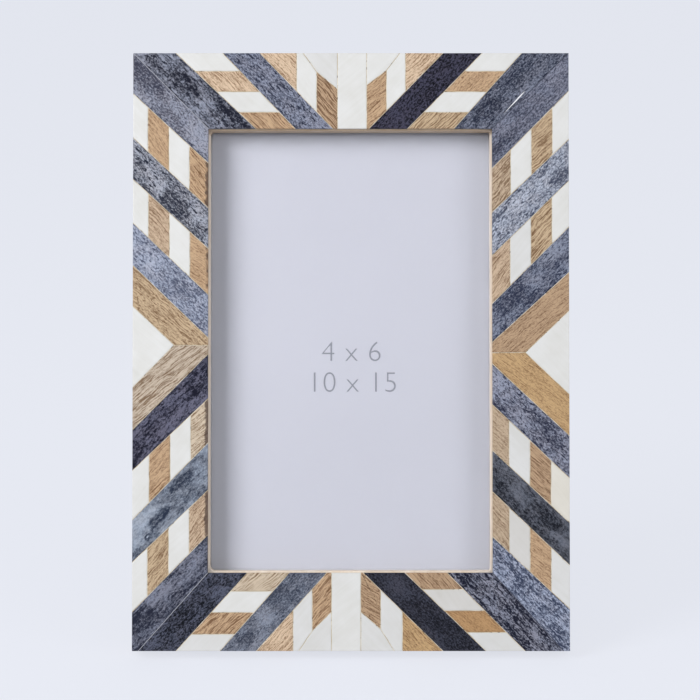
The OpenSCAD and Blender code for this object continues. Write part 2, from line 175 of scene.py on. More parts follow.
def dyedBoneGroup():
    spots = [(f"Spot {k}{end}", "Vector", (0, 0, 0)) for k in spotNumbers for end in ("", " Size")]
    tree, given, out = newGroup(
        "Dyed bone", ("Grain", "Vector", None), ("Light", "Color", None), ("Dark", "Color", None),
        ("Cloud", "Float", 0.5), ("Streak", "Float", 0.3), ("Speck", "Float", 0.5),
        ("Grit", "Float", 1.0), ("Rim", "Float", 0.0), ("Seed", "Float", 0.0), *spots)
    depth = add(tree, "CombineXYZ", {"Z": given["Seed"]}).outputs[0]
    place = move(tree, "ADD", given["Grain"], depth)
    wander = add(tree, "TexNoise", {"Vector": place, "Scale": 0.35, "Detail": 3.0}).outputs["Color"]
    wander = move(tree, "SUBTRACT", wander, (0.5, 0.5, 0.5))
    wander = add(tree, "VectorMath", {0: wander, "Scale": 2.5}, operation="SCALE").outputs[0]
    bent = move(tree, "ADD", place, wander)
    cloud = rough(tree, bent, 0.14, 3, 0.55, (0.6, 1, 1))
    patch = rough(tree, bent, 0.45, 3, 0.6, (0.5, 1, 1))
    grit = rough(tree, place, 1.9, 4, 0.85, (0.6, 1, 1))
    pits = step(tree, rough(tree, place, 1.7, 1, 0.5, (0.24, 1, 1)), 0.12, 0.17)
    glints = step(tree, rough(tree, place, 3.0, 1, 0.5, (0.8, 1, 1)), 0.12, 0.22)
    streaks = rough(tree, place, 1.3, 4, 0.7, (0.08, 1, 1))
    dashes = step(tree, rough(tree, bent, 1.1, 2, 0.5, (0.13, 1, 1)), 0.04, 0.12)
    ragged = calc(tree, "ADD", given["Rim"], rough(tree, bent, 0.8, 3, 0.6))
    chips = step(tree, ragged, 0.92, 1.15)
    stain = None
    for k in spotNumbers:  # long blots of dye; a spot holds its place and its strength
        spot = add(tree, "SeparateXYZ", {0: given[f"Spot {k}"]}).outputs
        middle = add(tree, "CombineXYZ", {0: spot[0], 1: spot[1], 2: given["Seed"]}).outputs[0]
        away = move(tree, "DIVIDE", move(tree, "SUBTRACT", bent, middle), given[f"Spot {k} Size"])
        reach = add(tree, "VectorMath", {0: away}, operation="LENGTH").outputs["Value"]
        blot = times(tree, step(tree, reach, 1.2, 0.3), spot[2])
        stain = blot if stain is None else calc(tree, "ADD", stain, blot)
    broad = step(tree, total(
        tree, (times(tree, cloud, given["Cloud"]), 3.2), (times(tree, patch, given["Cloud"]), 1.8),
        (stain, -0.8)), -0.6, 0.6, 0.12, 0.86, "SMOOTHERSTEP")
    lined = calc(tree, "ADD", given["Streak"], times(tree, stain, 0.4), clamp=True)
    tone = level(
        tree, broad, (times(tree, grit, given["Grit"]), 4.4),
        (times(tree, streaks, given["Streak"]), 3.8), (times(tree, dashes, lined), -0.9),
        (times(tree, pits, given["Speck"]), -1.3), (times(tree, glints, given["Grit"]), 0.16),
        (chips, -0.35), clamp=True)
    colour = blendColours(tree, tone, given["Dark"], given["Light"])
    shift = step(tree, rough(tree, bent, 0.25, 2, 0.5), -0.12, 0.12)
    fill(tree, out, {
        "Color": blendColours(tree, shift, colour, (0.965, 1.0, 1.03, 1), "MULTIPLY"),
        "Roughness": level(tree, 0.42, (pits, 0.2), (grit, 0.15)),
        "Height": total(tree, (grit, 0.5), (pits, -0.6), (streaks, 0.4), (chips, -0.4))})
    return tree


def inlaidWoodGroup():
    tree, given, out = newGroup(
        "Inlaid wood", ("Grain", "Vector", None), ("Light", "Color", None), ("Lines", "Float", 0.3),
        ("Pores", "Float", 0.3), ("Burn", "Float", 0.0), ("Rim", "Float", 0.0))
    place = given["Grain"]
    wander = times(tree, rough(tree, place, 0.12, 2, 0.5), 2.2)
    bent = move(tree, "ADD", place, add(tree, "CombineXYZ", {"Y": wander}).outputs[0])
    fibres = rough(tree, bent, 2.5, 3, 0.75, (0.06, 1, 1))
    grit = rough(tree, bent, 3.2, 1, 0.5, (0.35, 1, 1))
    broad = rough(tree, bent, 0.35, 3, 0.5, (0.12, 1, 1))
    cloud = rough(tree, place, 0.3, 3, 0.6)
    vessels = step(tree, rough(tree, bent, 1.7, 3, 0.65, (0.05, 1, 1)), 0.04, 0.1)
    pores = step(tree, rough(tree, place, 2.5, 1, 0.5, (0.3, 1, 1)), 0.1, 0.16)
    tone = level(
        tree, 0.8, (times(tree, fibres, calc(tree, "ADD", given["Lines"], 0.3)), 6.0),
        (broad, 0.7), (cloud, 0.5), (times(tree, vessels, given["Lines"]), -1.2), (grit, 1.8),
        (times(tree, pores, given["Pores"]), -1.3), (given["Rim"], -0.08), clamp=True)
    dark, bright = (blendColours(tree, 1.0, given["Light"], shade, "MULTIPLY")
                    for shade in ((0.33, 0.23, 0.14, 1), (1.06, 1.05, 1.04, 1)))
    scorchAndPaintedShade = calc(tree, "ADD", given["Burn"], rough(tree, place, 0.5, 3, 0.6))
    scorchAndPaintedShade = times(tree, step(tree, scorchAndPaintedShade, 0.45, 0.75), 0.85)
    colour = blendColours(tree, tone, dark, bright)
    fill(tree, out, {
        "Color": blendColours(tree, scorchAndPaintedShade, colour, tint(62, 40, 30)),
        "Roughness": level(tree, 0.46, (vessels, 0.14), (fibres, -0.15)),
        "Height": total(tree, (fibres, 0.5), (vessels, -0.5), (pores, -0.4))})
    return tree


def whiteBoneGroup():
    tree, given, out = newGroup("White bone", ("Grain", "Vector", None), ("Light", "Color", None),
                                ("Rim", "Float", 0.0))
    place = given["Grain"]
    lines = rough(tree, place, 0.7, 4, 0.6, (0.05, 1, 1))
    cloud = rough(tree, place, 0.12, 3, 0.5)
    pits = step(tree, rough(tree, place, 1.6, 1, 0.5, (0.25, 1, 1)), 0.2, 0.3)
    tone = level(tree, 0.66, (lines, 1.1), (cloud, 1.8), (pits, -0.5), (given["Rim"], -0.25),
                 clamp=True)
    warm = blendColours(tree, 1.0, given["Light"], (0.9, 0.893, 0.865, 1), "MULTIPLY")
    fill(tree, out, {
        "Color": blendColours(tree, tone, warm, given["Light"]),
        "Roughness": level(tree, 0.36, (pits, 0.2), (lines, 0.2)),
        "Height": total(tree, (lines, 0.3), (pits, -0.5))})
    return tree


def boardGrainGroup():
    tree, given, out = newGroup("Board grain", ("Place", "Vector", None), ("Light", "Color", None),
                                ("Dark", "Color", None))
    place = given["Place"]  # mm, drawn out along the board
    fibres, bands = rough(tree, place, 1.4, 4, 0.6), rough(tree, place, 0.25, 3, 0.5, bend=0.6)
    pores = step(tree, rough(tree, place, 1.8, 1, 0.5), 0.14, 0.24)
    tone = level(tree, 0.6, (fibres, 1.0), (bands, 1.6), (pores, -0.35), clamp=True)
    fill(tree, out, {
        "Color": blendColours(tree, tone, given["Dark"], given["Light"]),
        "Roughness": level(tree, 0.52, (fibres, 0.3), (pores, 0.1)),
        "Height": total(tree, (fibres, 0.6), (pores, -0.6))})
    return tree


def wornMetalGroup():
    tree, given, out = newGroup("Worn metal", ("Place", "Vector", None), ("Clean", "Color", None),
                                ("Worn", "Color", None), ("Dullness", "Float", 0.3))
    place = given["Place"]
    smears = rough(tree, place, 0.5, 4, 0.6)
    scratches = rough(tree, place, 3.0, 3, 0.6, (0.1, 1, 1))
    dull = step(tree, rough(tree, place, 0.9, 3, 0.6), 0.02, 0.2)
    fill(tree, out, {
        "Color": blendColours(tree, times(tree, dull, 0.4), given["Clean"], given["Worn"]),
        "Roughness": level(tree, given["Dullness"], (smears, 0.2), (scratches, 0.2), (dull, 0.08)),
        "Height": total(tree, (smears, 0.4), (scratches, 0.5))})
    return tree


groups = {"bone": dyedBoneGroup(), "wood": inlaidWoodGroup(), "white": whiteBoneGroup(),
          "board": boardGrainGroup(), "metal": wornMetalGroup()}

# Mesh tools. Lengths are in mm and angles in degrees.

mesh = {"weld": 0.001, "flat": 0.6, "smooth": 35, "sharp": 30, "front": -0.9}


def alone(piece=None):  # nothing selected, or this piece alone
    bpy.ops.object.select_all(action="DESELECT")
    if piece:
        piece.select_set(True)
        bpy.context.view_layer.objects.active = piece


def added(name):  # the object that an operator has just added
    made = bpy.context.object
    made.name = name
    return made


def edit(piece, action="DESELECT"):  # edit mode on this piece alone
    alone(piece)
    bpy.ops.object.mode_set(mode="EDIT")
    bpy.ops.mesh.select_all(action=action)


def leave():
    bpy.ops.object.mode_set(mode="OBJECT")


def pick(piece, kind, test):  # selects the faces or the edges for which the test is true
    bpy.ops.mesh.select_mode(type=kind)
    shape = bmesh.from_edit_mesh(piece.data)
    for item in shape.faces if kind == "FACE" else shape.edges:
        item.select_set(bool(test(item)))
    shape.select_flush_mode()
    bmesh.update_edit_mesh(piece.data)


def facesFront(face):
    return face.normal.dot(rearWay) < mesh["front"]


def copyOf(pieceName, node):  # a merged copy of a CAD node, to be worked on
    piece = bpy.data.objects.new(pieceName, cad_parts[node].data.copy())
    bpy.context.scene.collection.objects.link(piece)
    piece.data.materials.clear()
    edit(piece, "SELECT")
    bpy.ops.mesh.customdata_custom_splitnormals_clear()
    bpy.ops.mesh.remove_doubles(threshold=mesh["weld"] * mm)
    bpy.ops.mesh.dissolve_limited(angle_limit=math.radians(mesh["flat"]))
    leave()
    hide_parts(node)
    return piece


def modify(piece, kind, **settings):
    alone(piece)
    made = piece.modifiers.new(kind.title(), kind)
    for name, value in settings.items():
        setattr(made, name, value)
    bpy.ops.object.modifier_apply(modifier=made.name)


def smooth(piece, angle=mesh["smooth"]):
    alone(piece)
    bpy.ops.object.shade_smooth_by_angle(angle=math.radians(angle))


def settle(piece, material, body):  # finish, material slot and body of a piece
    piece.data.materials.clear()
    piece.data.materials.append(material)
    if body:
        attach(piece, body)


def rounded(pieceName, node, width, segments=2):  # CAD shape with its sharp edges rounded off
    piece = copyOf(pieceName, node)
    modify(piece, "BEVEL", width=width * mm, segments=segments, limit_method="ANGLE",
           angle_limit=math.radians(mesh["sharp"]), use_clamp_overlap=True)
    smooth(piece)
    modify(piece, "WEIGHTED_NORMAL", keep_sharp=True)  # wide faces stay flat
    return piece


# Tiles of the mosaic, cut by hand: their edges are uneven and worn a little round at the face, and
# a rim all round takes the edge tone. A wave of the sway has its share, its layer and its scale.
tileCut = {"wear": 0.09, "rim": 0.5, "sway": 0.06, "waves": ((1.0, 3.0, 0.45), (0.6, 9.0, 1.3)),
           "cuts": 9, "skin": 0.1, "margin": 0.3, "smooth": 40, "turn": 9, "slide": 90}


def cutEdges(piece):
    edit(piece)
    pick(piece, "FACE", facesFront)
    bpy.ops.mesh.inset(thickness=tileCut["rim"] * mm, depth=0, use_even_offset=True)
    inner = lambda vertex: all(facesFront(f) for f in vertex.link_faces)  # touches no side
    shape = bmesh.from_edit_mesh(piece.data)
    rim = shape.verts.layers.float.new("rim")
    for vertex in shape.verts:
        vertex[rim] = 0.0 if inner(vertex) else 1.0
    bmesh.update_edit_mesh(piece.data)
    pick(piece, "EDGE", lambda e: any(facesFront(f) for f in e.link_faces)
         and inner(e.verts[0]) == inner(e.verts[1]))
    bpy.ops.mesh.subdivide(number_cuts=tileCut["cuts"])
    leave()
    for vertex in piece.data.vertices:
        across, down, back = faceOf(vertex.co)
        edge = min(across, stand["width"] - across, down, stand["height"] - down)
        if back < tileCut["skin"] and edge > tileCut["margin"]:  # the face's own edge is straight
            sway = sum((share * noise.noise_vector(Vector((across, down, layer)) * scale)
                        for share, layer, scale in tileCut["waves"]), Vector())
            vertex.co += (Vector((1, 0, 0)) * sway.x + upWay * sway.y) * tileCut["sway"] * mm
    edit(piece)
    pick(piece, "EDGE", lambda e: len({facesFront(f) for f in e.link_faces}) > 1)
    bpy.ops.mesh.bevel(offset=tileCut["wear"] * mm, segments=2, profile=0.5, clamp_overlap=True)
    leave()


def tilesOf(shape):  # the faces and the corners of each loose tile, and its middle on the face
    tiles, seen = [], set()
    for start in shape.faces:
        if start in seen:
            continue
        faces, fresh = [], [start]
        seen.add(start)
        while fresh:
            face = fresh.pop()
            faces.append(face)
            for other in [f for e in face.edges for f in e.link_faces]:
                if other not in seen:
                    seen.add(other)
                    fresh.append(other)
        corners = list(dict.fromkeys(v for f in faces for v in f.verts))
        places = [faceOf(v.co) for v in corners]
        middle = [sum(p[k] for p in places) / len(places) for k in (0, 1)]
        tiles.append((faces, corners, middle))
    return tiles


def grainWay(middle):  # grain runs along the diagonals, towards the middle of the face
    return Vector((1 if middle[0] < stand["width"] / 2 else -1,
                   1 if middle[1] < stand["height"] / 2 else -1)).normalized()


def layTiles(pieceName, node, looks, scatter=True):
    # looks: the colours that each tile's corners carry, on a long side from the top down and on a
    # short side from the left. The middle of the last tile is returned with the piece.
    piece = copyOf(pieceName, node)
    cutEdges(piece)
    shape = bmesh.new()
    shape.from_mesh(piece.data)
    grain = shape.loops.layers.uv.new("grain")
    tones = {key: shape.verts.layers.float_color.new(key) for key in looks[0]}
    order = 1 if node.startswith(("left", "right")) else 0
    tiles = sorted(tilesOf(shape), key=lambda tile: tile[2][order])
    for (faces, corners, middle), look in zip(tiles, looks):
        way, slide = grainWay(middle), Vector((0, 0))
        if scatter:
            turn, far = tileCut["turn"], tileCut["slide"]
            way.rotate(Matrix.Rotation(math.radians(random.uniform(-turn, turn)), 2))
            slide = Vector((random.uniform(-far, far), random.uniform(-far, far)))
        side = Vector((-way.y, way.x))
        for loop in [corner for face in faces for corner in face.loops]:
            across, down, back = faceOf(loop.vert.co)
            spot = Vector((across - middle[0], down - middle[1]))
            loop[grain].uv = (spot.dot(way) + slide.x, spot.dot(side) + back + slide.y)
        for vertex in corners:
            for key, layer in tones.items():
                vertex[layer] = look[key]
    shape.to_mesh(piece.data)
    shape.free()
    smooth(piece, tileCut["smooth"])
    return piece, middle


def grainOf(tree):
    return add(tree, "UVMap", uv_map="grain").outputs[0]


def rimOf(tree):
    return attribute(tree, "rim", "Fac")


# Grey strips. A spot has its place across and down the face, its strength, its length and its
# width; it is pale where the strength is below 0. A strip has up to five.
stripLooks = {
    "left_1": {"light": (164, 166, 180), "dark": (59, 60, 75), "cloud": 0.4, "streak": 0.15,
        "speck": 0.4, "grit": 1.3, "spots": [(4, 7, 0.5, 11, 6), (22, 28, -0.5, 8, 5),
            (19, 31, 0.4, 9, 1)]},
    "left_2": {"light": (178, 180, 191), "dark": (39, 42, 56), "cloud": 0.4, "streak": 0.2,
        "speck": 0.8, "grit": 1.2, "spots": [(14, 51, 0.9, 7, 4), (22, 55, -0.4, 5, 3),
            (2.5, 36, 0.9, 2, 0.7), (3, 38.5, 0.7, 3, 0.6), (6, 43, -0.4, 7, 3)]},
    "left_3": {"light": (179, 184, 201), "dark": (80, 85, 104), "cloud": 0.25, "streak": 0.1,
        "speck": 0.7, "grit": 1.2, "spots": [(17, 80, 0.3, 6, 3), (4, 68, -0.25, 8, 4),
            (23, 79.5, 0.4, 2.5, 2)]},
    "left_4": {"light": (109, 108, 127), "dark": (19, 19, 35), "cloud": 0.4, "streak": 0.5,
        "speck": 0.2, "grit": 1.2, "spots": [(16, 121, -0.5, 16, 2), (3, 130, 0.3, 8, 3),
            (22, 112, 0.4, 6, 4)]},
    "left_5": {"light": (170, 178, 192), "dark": (40, 48, 66), "cloud": 0.5, "streak": 0.1,
        "speck": 0.1, "grit": 0.55, "spots": [(16, 143.5, 1.0, 6, 1.8), (9.5, 155, 0.9, 6, 1.5),
            (5.6, 162, 1.3, 1.9, 1.2), (5.5, 162.1, -3.0, 0.5, 0.4), (4, 156, -0.5, 6, 3)]},
    "left_6": {"light": (133, 136, 152), "dark": (34, 37, 53), "cloud": 0.5, "streak": 0.4,
        "speck": 0.2, "grit": 0.9, "spots": [(3, 190, 0.6, 8, 5), (9, 181, -0.5, 6, 2.5),
            (19, 170, -0.3, 7, 3)]},
    "bottom_1": {"light": (92, 95, 112), "dark": (2, 4, 14), "cloud": 0.35, "streak": 0.2,
        "speck": 0.4, "grit": 1.3, "spots": [(30, 181, -0.7, 4, 3), (15, 190, 0.4, 9, 4)]},
    "bottom_2": {"light": (146, 151, 165), "dark": (56, 61, 76), "cloud": 0.4, "streak": 0.1,
        "speck": 0.3, "grit": 0.9, "spots": [(47.5, 181, 0.5, 5, 3), (38, 196, 0.7, 4, 2.5),
            (54, 181, 0.3, 4, 2), (44, 189, -0.4, 5, 3)]},
    "bottom_3": {"light": (70, 71, 84), "dark": (8, 9, 18), "cloud": 0.35, "streak": 0.1,
        "speck": 0.2, "grit": 1.2, "spots": [(88, 178, -0.4, 5, 4), (100, 189, 0.3, 9, 4)]},
    "bottom_4": {"light": (152, 154, 170), "dark": (22, 24, 41), "cloud": 0.3, "streak": 0.65,
        "speck": 0.6, "grit": 1.1, "spots": [(109.5, 180, 0.7, 7, 1.5), (130, 186, 0.6, 9, 1.2),
            (128, 194, 0.5, 9, 1)]},
    "right_6": {"light": (179, 186, 207), "dark": (57, 64, 85), "cloud": 0.25, "streak": 0.5,
        "speck": 0.3, "grit": 1.1, "spots": [(128, 174, 0.5, 12, 1.2), (140, 194, 0.4, 7, 1.4)]},
    "right_5": {"light": (110, 113, 124), "dark": (18, 20, 29), "cloud": 0.5, "streak": 0.1,
        "speck": 0.2, "grit": 0.9, "spots": [(139, 156, 0.6, 8, 3), (143, 163, -0.5, 6, 1.8),
            (129, 148, -0.35, 6, 2.5)]},
    "right_4": {"light": (159, 162, 179), "dark": (43, 45, 63), "cloud": 0.3, "streak": 0.15,
        "speck": 0.8, "grit": 1.25, "spots": [(122, 110, -0.3, 7, 4), (140, 128, 0.25, 8, 4),
            (122, 119.5, 0.8, 5, 0.8)]},
    "right_3": {"light": (145, 150, 167), "dark": (45, 50, 70), "cloud": 0.35, "streak": 0.15,
        "speck": 0.6, "grit": 1.1, "spots": [(126, 82, 0.5, 9, 4), (142, 66, -0.4, 7, 3)]},
    "right_2": {"light": (197, 201, 214), "dark": (72, 77, 94), "cloud": 0.25, "streak": 0.2,
        "speck": 0.8, "grit": 1.05, "spots": [(143, 41, 0.6, 5, 2.5), (121, 56, 1.1, 3, 0.6),
            (130, 50, -0.3, 9, 3), (137, 40, 0.5, 5, 1)]},
    "right_1": {"light": (141, 144, 161), "dark": (48, 51, 68), "cloud": 0.3, "streak": 0.2,
        "speck": 0.5, "grit": 1.3, "spots": [(124, 30, 0.35, 8, 3), (141, 8, -0.3, 8, 3)]},
    "top_4": {"light": (133, 137, 153), "dark": (33, 38, 55), "cloud": 0.4, "streak": 0.2,
        "speck": 0.4, "grit": 1.3, "spots": [(118, 20, 0.3, 9, 4), (136, 5, -0.2, 7, 3),
            (127, 9, 0.3, 7, 3)]},
    "top_3": {"light": (72, 70, 88), "dark": (0, 0, 8), "cloud": 0.25, "streak": 0.1, "speck": 0.3,
        "grit": 1.9, "spots": [(86, 23, -0.3, 6, 3)]},
    "top_2": {"light": (155, 159, 177), "dark": (47, 51, 68), "cloud": 0.2, "streak": 0.15,
        "speck": 1.1, "grit": 1.2, "spots": [(62, 24, -0.2, 6, 3), (50, 11, 0.9, 4, 0.7)]},
    "top_1": {"light": (156, 159, 174), "dark": (24, 26, 40), "cloud": 0.5, "streak": 0.3,
        "speck": 0.4, "grit": 1.15, "spots": [(17, 9.5, 0.9, 7, 3.5), (33, 22, 0.9, 8, 3.5),
            (24, 17, -0.35, 4, 3), (38, 25, 0.6, 5, 1)]},
}

stripSeed = 7.3  # between the strips, along the depth of their noise


def makeStrips():
    for number, (name, look) in enumerate(stripLooks.items()):
        side, place = name.split("_")
        piece, middle = layTiles(f"{side}Strip{place}", f"{side}_bone_strip_{place}", [{}], False)
        material, tree, shader = newMaterial(f"dyedBone{side.title()}{place}",
                                             {"Specular IOR Level": 0.12})
        values = {key.title(): look[key] for key in ("cloud", "streak", "speck", "grit")}
        values.update({"Grain": grainOf(tree), "Rim": rimOf(tree), "Light": tint(*look["light"]),
                       "Dark": tint(*look["dark"]), "Seed": stripSeed * number})
        way = grainWay(middle)
        for k, (across, down, strength, length, width) in zip(spotNumbers, look["spots"]):
            away = Vector((across - middle[0], down - middle[1]))
            values[f"Spot {k}"] = (away.dot(way), away.dot(Vector((-way.y, way.x))), strength)
            values[f"Spot {k} Size"] = (length, width, 1)
        finishSurface(tree, shader, useGroup(tree, groups["bone"], values), 0.05, 0.6)
        settle(piece, material, "frame")


# Wood tiles: wood, lines, pores, and burn at the window
woods = {"cream": (216, 191, 163), "pale": (206, 190, 168), "tan": (194, 163, 129),
         "fawn": (198, 174, 148), "olive": (196, 172, 140), "grey": (189, 168, 143),
         "honey": (193, 160, 115), "ochre": (180, 142, 97), "brown": (182, 153, 122),
         "ash": (196, 181, 163)}
woodLooks = {
    "left_wood_tiles": [
        ("tan", 0.15, 0.2), ("tan", 0.5, 0.3, 0.8), ("fawn", 0.3, 0.3), ("tan", 0.15, 0.2, 0.6),
        ("pale", 0.4, 0.2, 0.8), ("tan", 0.35, 0.2), ("fawn", 0.55, 0.3, 0.85),
        ("olive", 0.5, 0.3)],
    "right_wood_tiles": [
        ("olive", 0.6, 0.3), ("grey", 0.8, 1.6), ("olive", 0.9, 0.2), ("fawn", 0.55, 0.2),
        ("grey", 0.15, 0.3), ("brown", 0.5, 0.3), ("grey", 0.3, 0.3), ("tan", 0.3, 0.2)],
    "top_wood_tiles": [
        ("cream", 0.4, 0.2), ("tan", 1.0, 0.4), ("cream", 0.35, 0.2), ("brown", 2.1, 0.3),
        ("tan", 0.35, 0.2), ("cream", 0.25, 0.2), ("olive", 0.9, 0.2), ("tan", 0.1, 0.5)],
    "bottom_wood_tiles": [
        ("tan", 0.8, 0.2), ("pale", 0.6, 0.2), ("cream", 0.35, 0.3), ("tan", 0.8, 0.4),
        ("brown", 0.4, 0.8), ("honey", 0.3, 0.4), ("brown", 0.6, 0.2), ("ochre", 0.0, 0.1)],
    "left_wood_arm_upper": [("olive", 0.45, 1.6)], "left_wood_arm_lower": [("ash", 0.75, 0.3)],
    "right_wood_arm_upper": [("brown", 0.25, 0.3)], "right_wood_arm_lower": [("honey", 0.15, 0.2)],
}
woodBurn = {"from": -50.4, "to": -47.9}  # across from the middle, where the saw scorched the wood


def woodTones(wood, lines, pores, burn=0.0):
    return {"tileLight": tint(*woods[wood]), "tileFigure": (lines, pores, burn, 1)}


def plainName(node):  # left_wood_tiles to leftWoodTiles
    first, *rest = node.split("_")
    return first + "".join(word.title() for word in rest)


def makeWoodTiles():
    material, tree, shader = newMaterial("inlaidWood", {"Coat Weight": 0.08, "IOR": 1.5})
    figure = add(tree, "SeparateColor", {0: attribute(tree, "tileFigure")}).outputs
    place = add(tree, "TexCoord").outputs["Object"]
    across = add(tree, "SeparateXYZ", {0: place}).outputs["X"]
    near = step(tree, across, woodBurn["from"] * mm, woodBurn["to"] * mm)
    look = useGroup(tree, groups["wood"], {
        "Grain": grainOf(tree), "Rim": rimOf(tree), "Light": attribute(tree, "tileLight"),
        "Lines": figure[0], "Pores": figure[1], "Burn": times(tree, figure[2], near)})
    finishSurface(tree, shader, look, 0.06, 0.6)
    for node, looks in woodLooks.items():
        piece, _ = layTiles(plainName(node), node, [woodTones(*entry) for entry in looks])
        settle(piece, material, "frame")


# Bone tones. The greyer and duller ones go mostly to the lower tiles: partly the bones' own tone,
# partly painted shade, darker towards the bottom.
bones = {"white": (230, 230, 228), "clear": (228, 228, 226), "grey": (223, 223, 222),
         "dull": (215, 213, 210), "warm": (226, 222, 212)}
boneLooks = {
    "left_bone_tiles": ["white"] * 4 + ["clear"] * 4,
    "right_bone_tiles": ["clear", "clear", "clear", "grey", "grey", "warm", "dull", "grey"],
    "top_bone_tiles": ["white", "clear", "white", "grey", "white", "clear", "white", "clear",
                       "clear"],
    "bottom_bone_tiles": ["grey", "clear", "grey", "grey", "clear", "grey", "grey", "dull",
                          "grey"],
    "left_bone_triangle": ["white"], "right_bone_triangle": ["clear"],
}


def makeWhiteTiles():
    material, tree, shader = newMaterial("whiteBone", {"Coat Weight": 0.15, "IOR": 1.5})
    look = useGroup(tree, groups["white"], {"Grain": grainOf(tree), "Rim": rimOf(tree),
                                            "Light": attribute(tree, "tileLight")})
    finishSurface(tree, shader, look, 0.03, 0.5)
    for node, looks in boneLooks.items():
        piece, _ = layTiles(plainName(node.replace("bone", "white")), node,
                            [{"tileLight": tint(*bones[bone])} for bone in looks])
        settle(piece, material, "frame")


# Thin white sliver that fills the open end of the top right mitre: a blade that runs out to nothing
# at its lower end. Along its middle line it is 1 long each way.
sliverLook = {"from": (124.3, 20.3), "to": (131.2, 12.95), "width": 0.42, "proud": 0.01,
              "deep": 0.5, "light": (250, 251, 255), "cuts": 9, "tip": 0.12, "swell": 0.7,
              "blunt": 0.3, "narrow": 2, "waver": 0.04, "ripples": 6, "wear": 0.03, "smooth": 50}


def makeSliver():
    look = sliverLook
    material, tree, shader = newMaterial("sliverBone", {"IOR": 1.5})
    finishSurface(tree, shader, useGroup(tree, groups["white"], {
        "Grain": grainOf(tree), "Light": tint(*look["light"])}), 0.03, 0.5)
    start, end = Vector(look["from"]), Vector(look["to"])
    way, half = (end - start).normalized(), (end - start).length / 2
    side = Vector((-way.y, way.x))
    alone()
    bpy.ops.mesh.primitive_cube_add(size=2)
    sliver = added("mitreSliver")
    edit(sliver)
    pick(sliver, "EDGE", lambda e: abs(e.verts[0].co.x - e.verts[1].co.x) > 1)
    bpy.ops.mesh.subdivide(number_cuts=look["cuts"])
    leave()
    grain = sliver.data.uv_layers.new(name="grain")
    for vertex in sliver.data.vertices:
        x, y, z = vertex.co
        taper = min(1.0, look["tip"] + (x + 1) * look["swell"]) * min(
            1.0, look["blunt"] + (1 - x) * look["narrow"])
        spot = (start + end) / 2 + way * half * x + side * y * taper * look["width"] / 2
        spot += side * look["waver"] * noise.noise(Vector((x * look["ripples"], 2, 0)))
        vertex.co = placeOf(spot.x, spot.y, look["deep"] if z > 0 else -look["proud"])
    for loop in sliver.data.loops:
        across, down, back = faceOf(sliver.data.vertices[loop.vertex_index].co)
        spot = Vector((across, down)) - start
        grain.data[loop.index].uv = (spot.dot(way), spot.dot(side) + back)
    edit(sliver, "SELECT")
    bpy.ops.mesh.normals_make_consistent(inside=False)
    leave()
    modify(sliver, "BEVEL", width=look["wear"] * mm, segments=2, limit_method="ANGLE",
           angle_limit=math.radians(look["smooth"]))
    smooth(sliver, look["smooth"])
    settle(sliver, material, "frame")


random.seed(46)
noise.seed_set(46)  # or else noise_vector starts from the clock
makeStrips()
print("stage: 20 dyed strips cut")
makeWoodTiles()
makeWhiteTiles()
makeSliver()
print("stage: wood and white tiles cut")

# Filler, boards and the rest of the body


def objectPlace(tree, drawn=(1, 1, 1)):  # object coordinates in mm, turned to the leaning face
    place = add(tree, "TexCoord").outputs["Object"]
    place = add(tree, "Mapping", {"Vector": place, "Rotation": (stand["lean"], 0, 0)}).outputs[0]
    return add(tree, "Mapping", {"Vector": place,
                                 "Scale": tuple(1000 * k for k in drawn)}).outputs[0]


# How far the foot of the face lies below the middle of those coordinates
lowFoot = stand["shift"] * math.sin(stand["lean"])

fillerLook = {"pale": (226, 216, 196), "cream": (196, 180, 150), "dirt": (120, 104, 84),
              "paleMitre": (164, 166, 176), "darkMitre": (66, 70, 86), "mitre": (5.0, 4.0)}


def fillerMaterial():  # cream resin, but grey in the mitres, from the dye of their strips
    material, tree, shader = newMaterial("fillerResin", {"IOR": 1.5})
    place = objectPlace(tree)
    cloud, fine = rough(tree, place, 0.18, 3, 0.6), rough(tree, place, 0.9, 3, 0.6)
    spot = add(tree, "SeparateXYZ", {0: place}).outputs
    fromSide = calc(tree, "SUBTRACT", stand["width"] / 2, calc(tree, "ABSOLUTE", spot[0]))
    fromEnd = calc(tree, "SUBTRACT", stand["height"] / 2, calc(tree, "ABSOLUTE", calc(
        tree, "SUBTRACT", spot[2], lowFoot + stand["height"] / 2)))
    uneven = calc(tree, "ABSOLUTE", calc(tree, "SUBTRACT", fromSide, fromEnd))
    resin, mitre = (
        blendColours(tree, share, tint(*fillerLook[a]), tint(*fillerLook[b])) for share, a, b in (
            (step(tree, cloud, -0.1, 0.12), "cream", "pale"),
            (step(tree, spot[0], -1, 1), "paleMitre", "darkMitre")))
    resin = blendColours(tree, step(tree, fine, 0.08, 0.18), resin, tint(*fillerLook["dirt"]))
    colour = blendColours(tree, step(tree, uneven, *fillerLook["mitre"]), resin, mitre)
    finishSurface(tree, shader, {"Color": colour, "Roughness": calc(tree, "ADD", 0.6, fine),
                                 "Height": fine}, 0.05, 0.7)
    return material


# Rail and lip colours. The lip's top band is painted shade: its tint, its reach from the top lip
# and how far across it runs.
bodyLook = {"upright": (1, 1, 0.05), "level": (0.05, 1, 1), "ease": 0.25, "lipEase": 0.14,
            "rail": ((216, 186, 150), (176, 140, 104)), "lip": ((249, 238, 226), (226, 206, 186)),
            "topLip": 25.7, "scorchAndPaintedShade": (0.6, 0.53, 0.45, 1), "paintedShadeReach": (2.0, 1.0),
            "inside": 60.0}  # across from the middle, so that the painted shade stays off the board's outer sides


def boardWood(name, drawn, light, dark):  # sealed wood, its grain drawn out along one way
    material, tree, shader = newMaterial(name, {"IOR": 1.48, "Coat Weight": 0.05})
    look = useGroup(tree, groups["board"], {"Place": objectPlace(tree, drawn),
                                            "Light": tint(*light), "Dark": tint(*dark)})
    finishSurface(tree, shader, look, 0.08, 0.7)
    return material, tree, shader, look


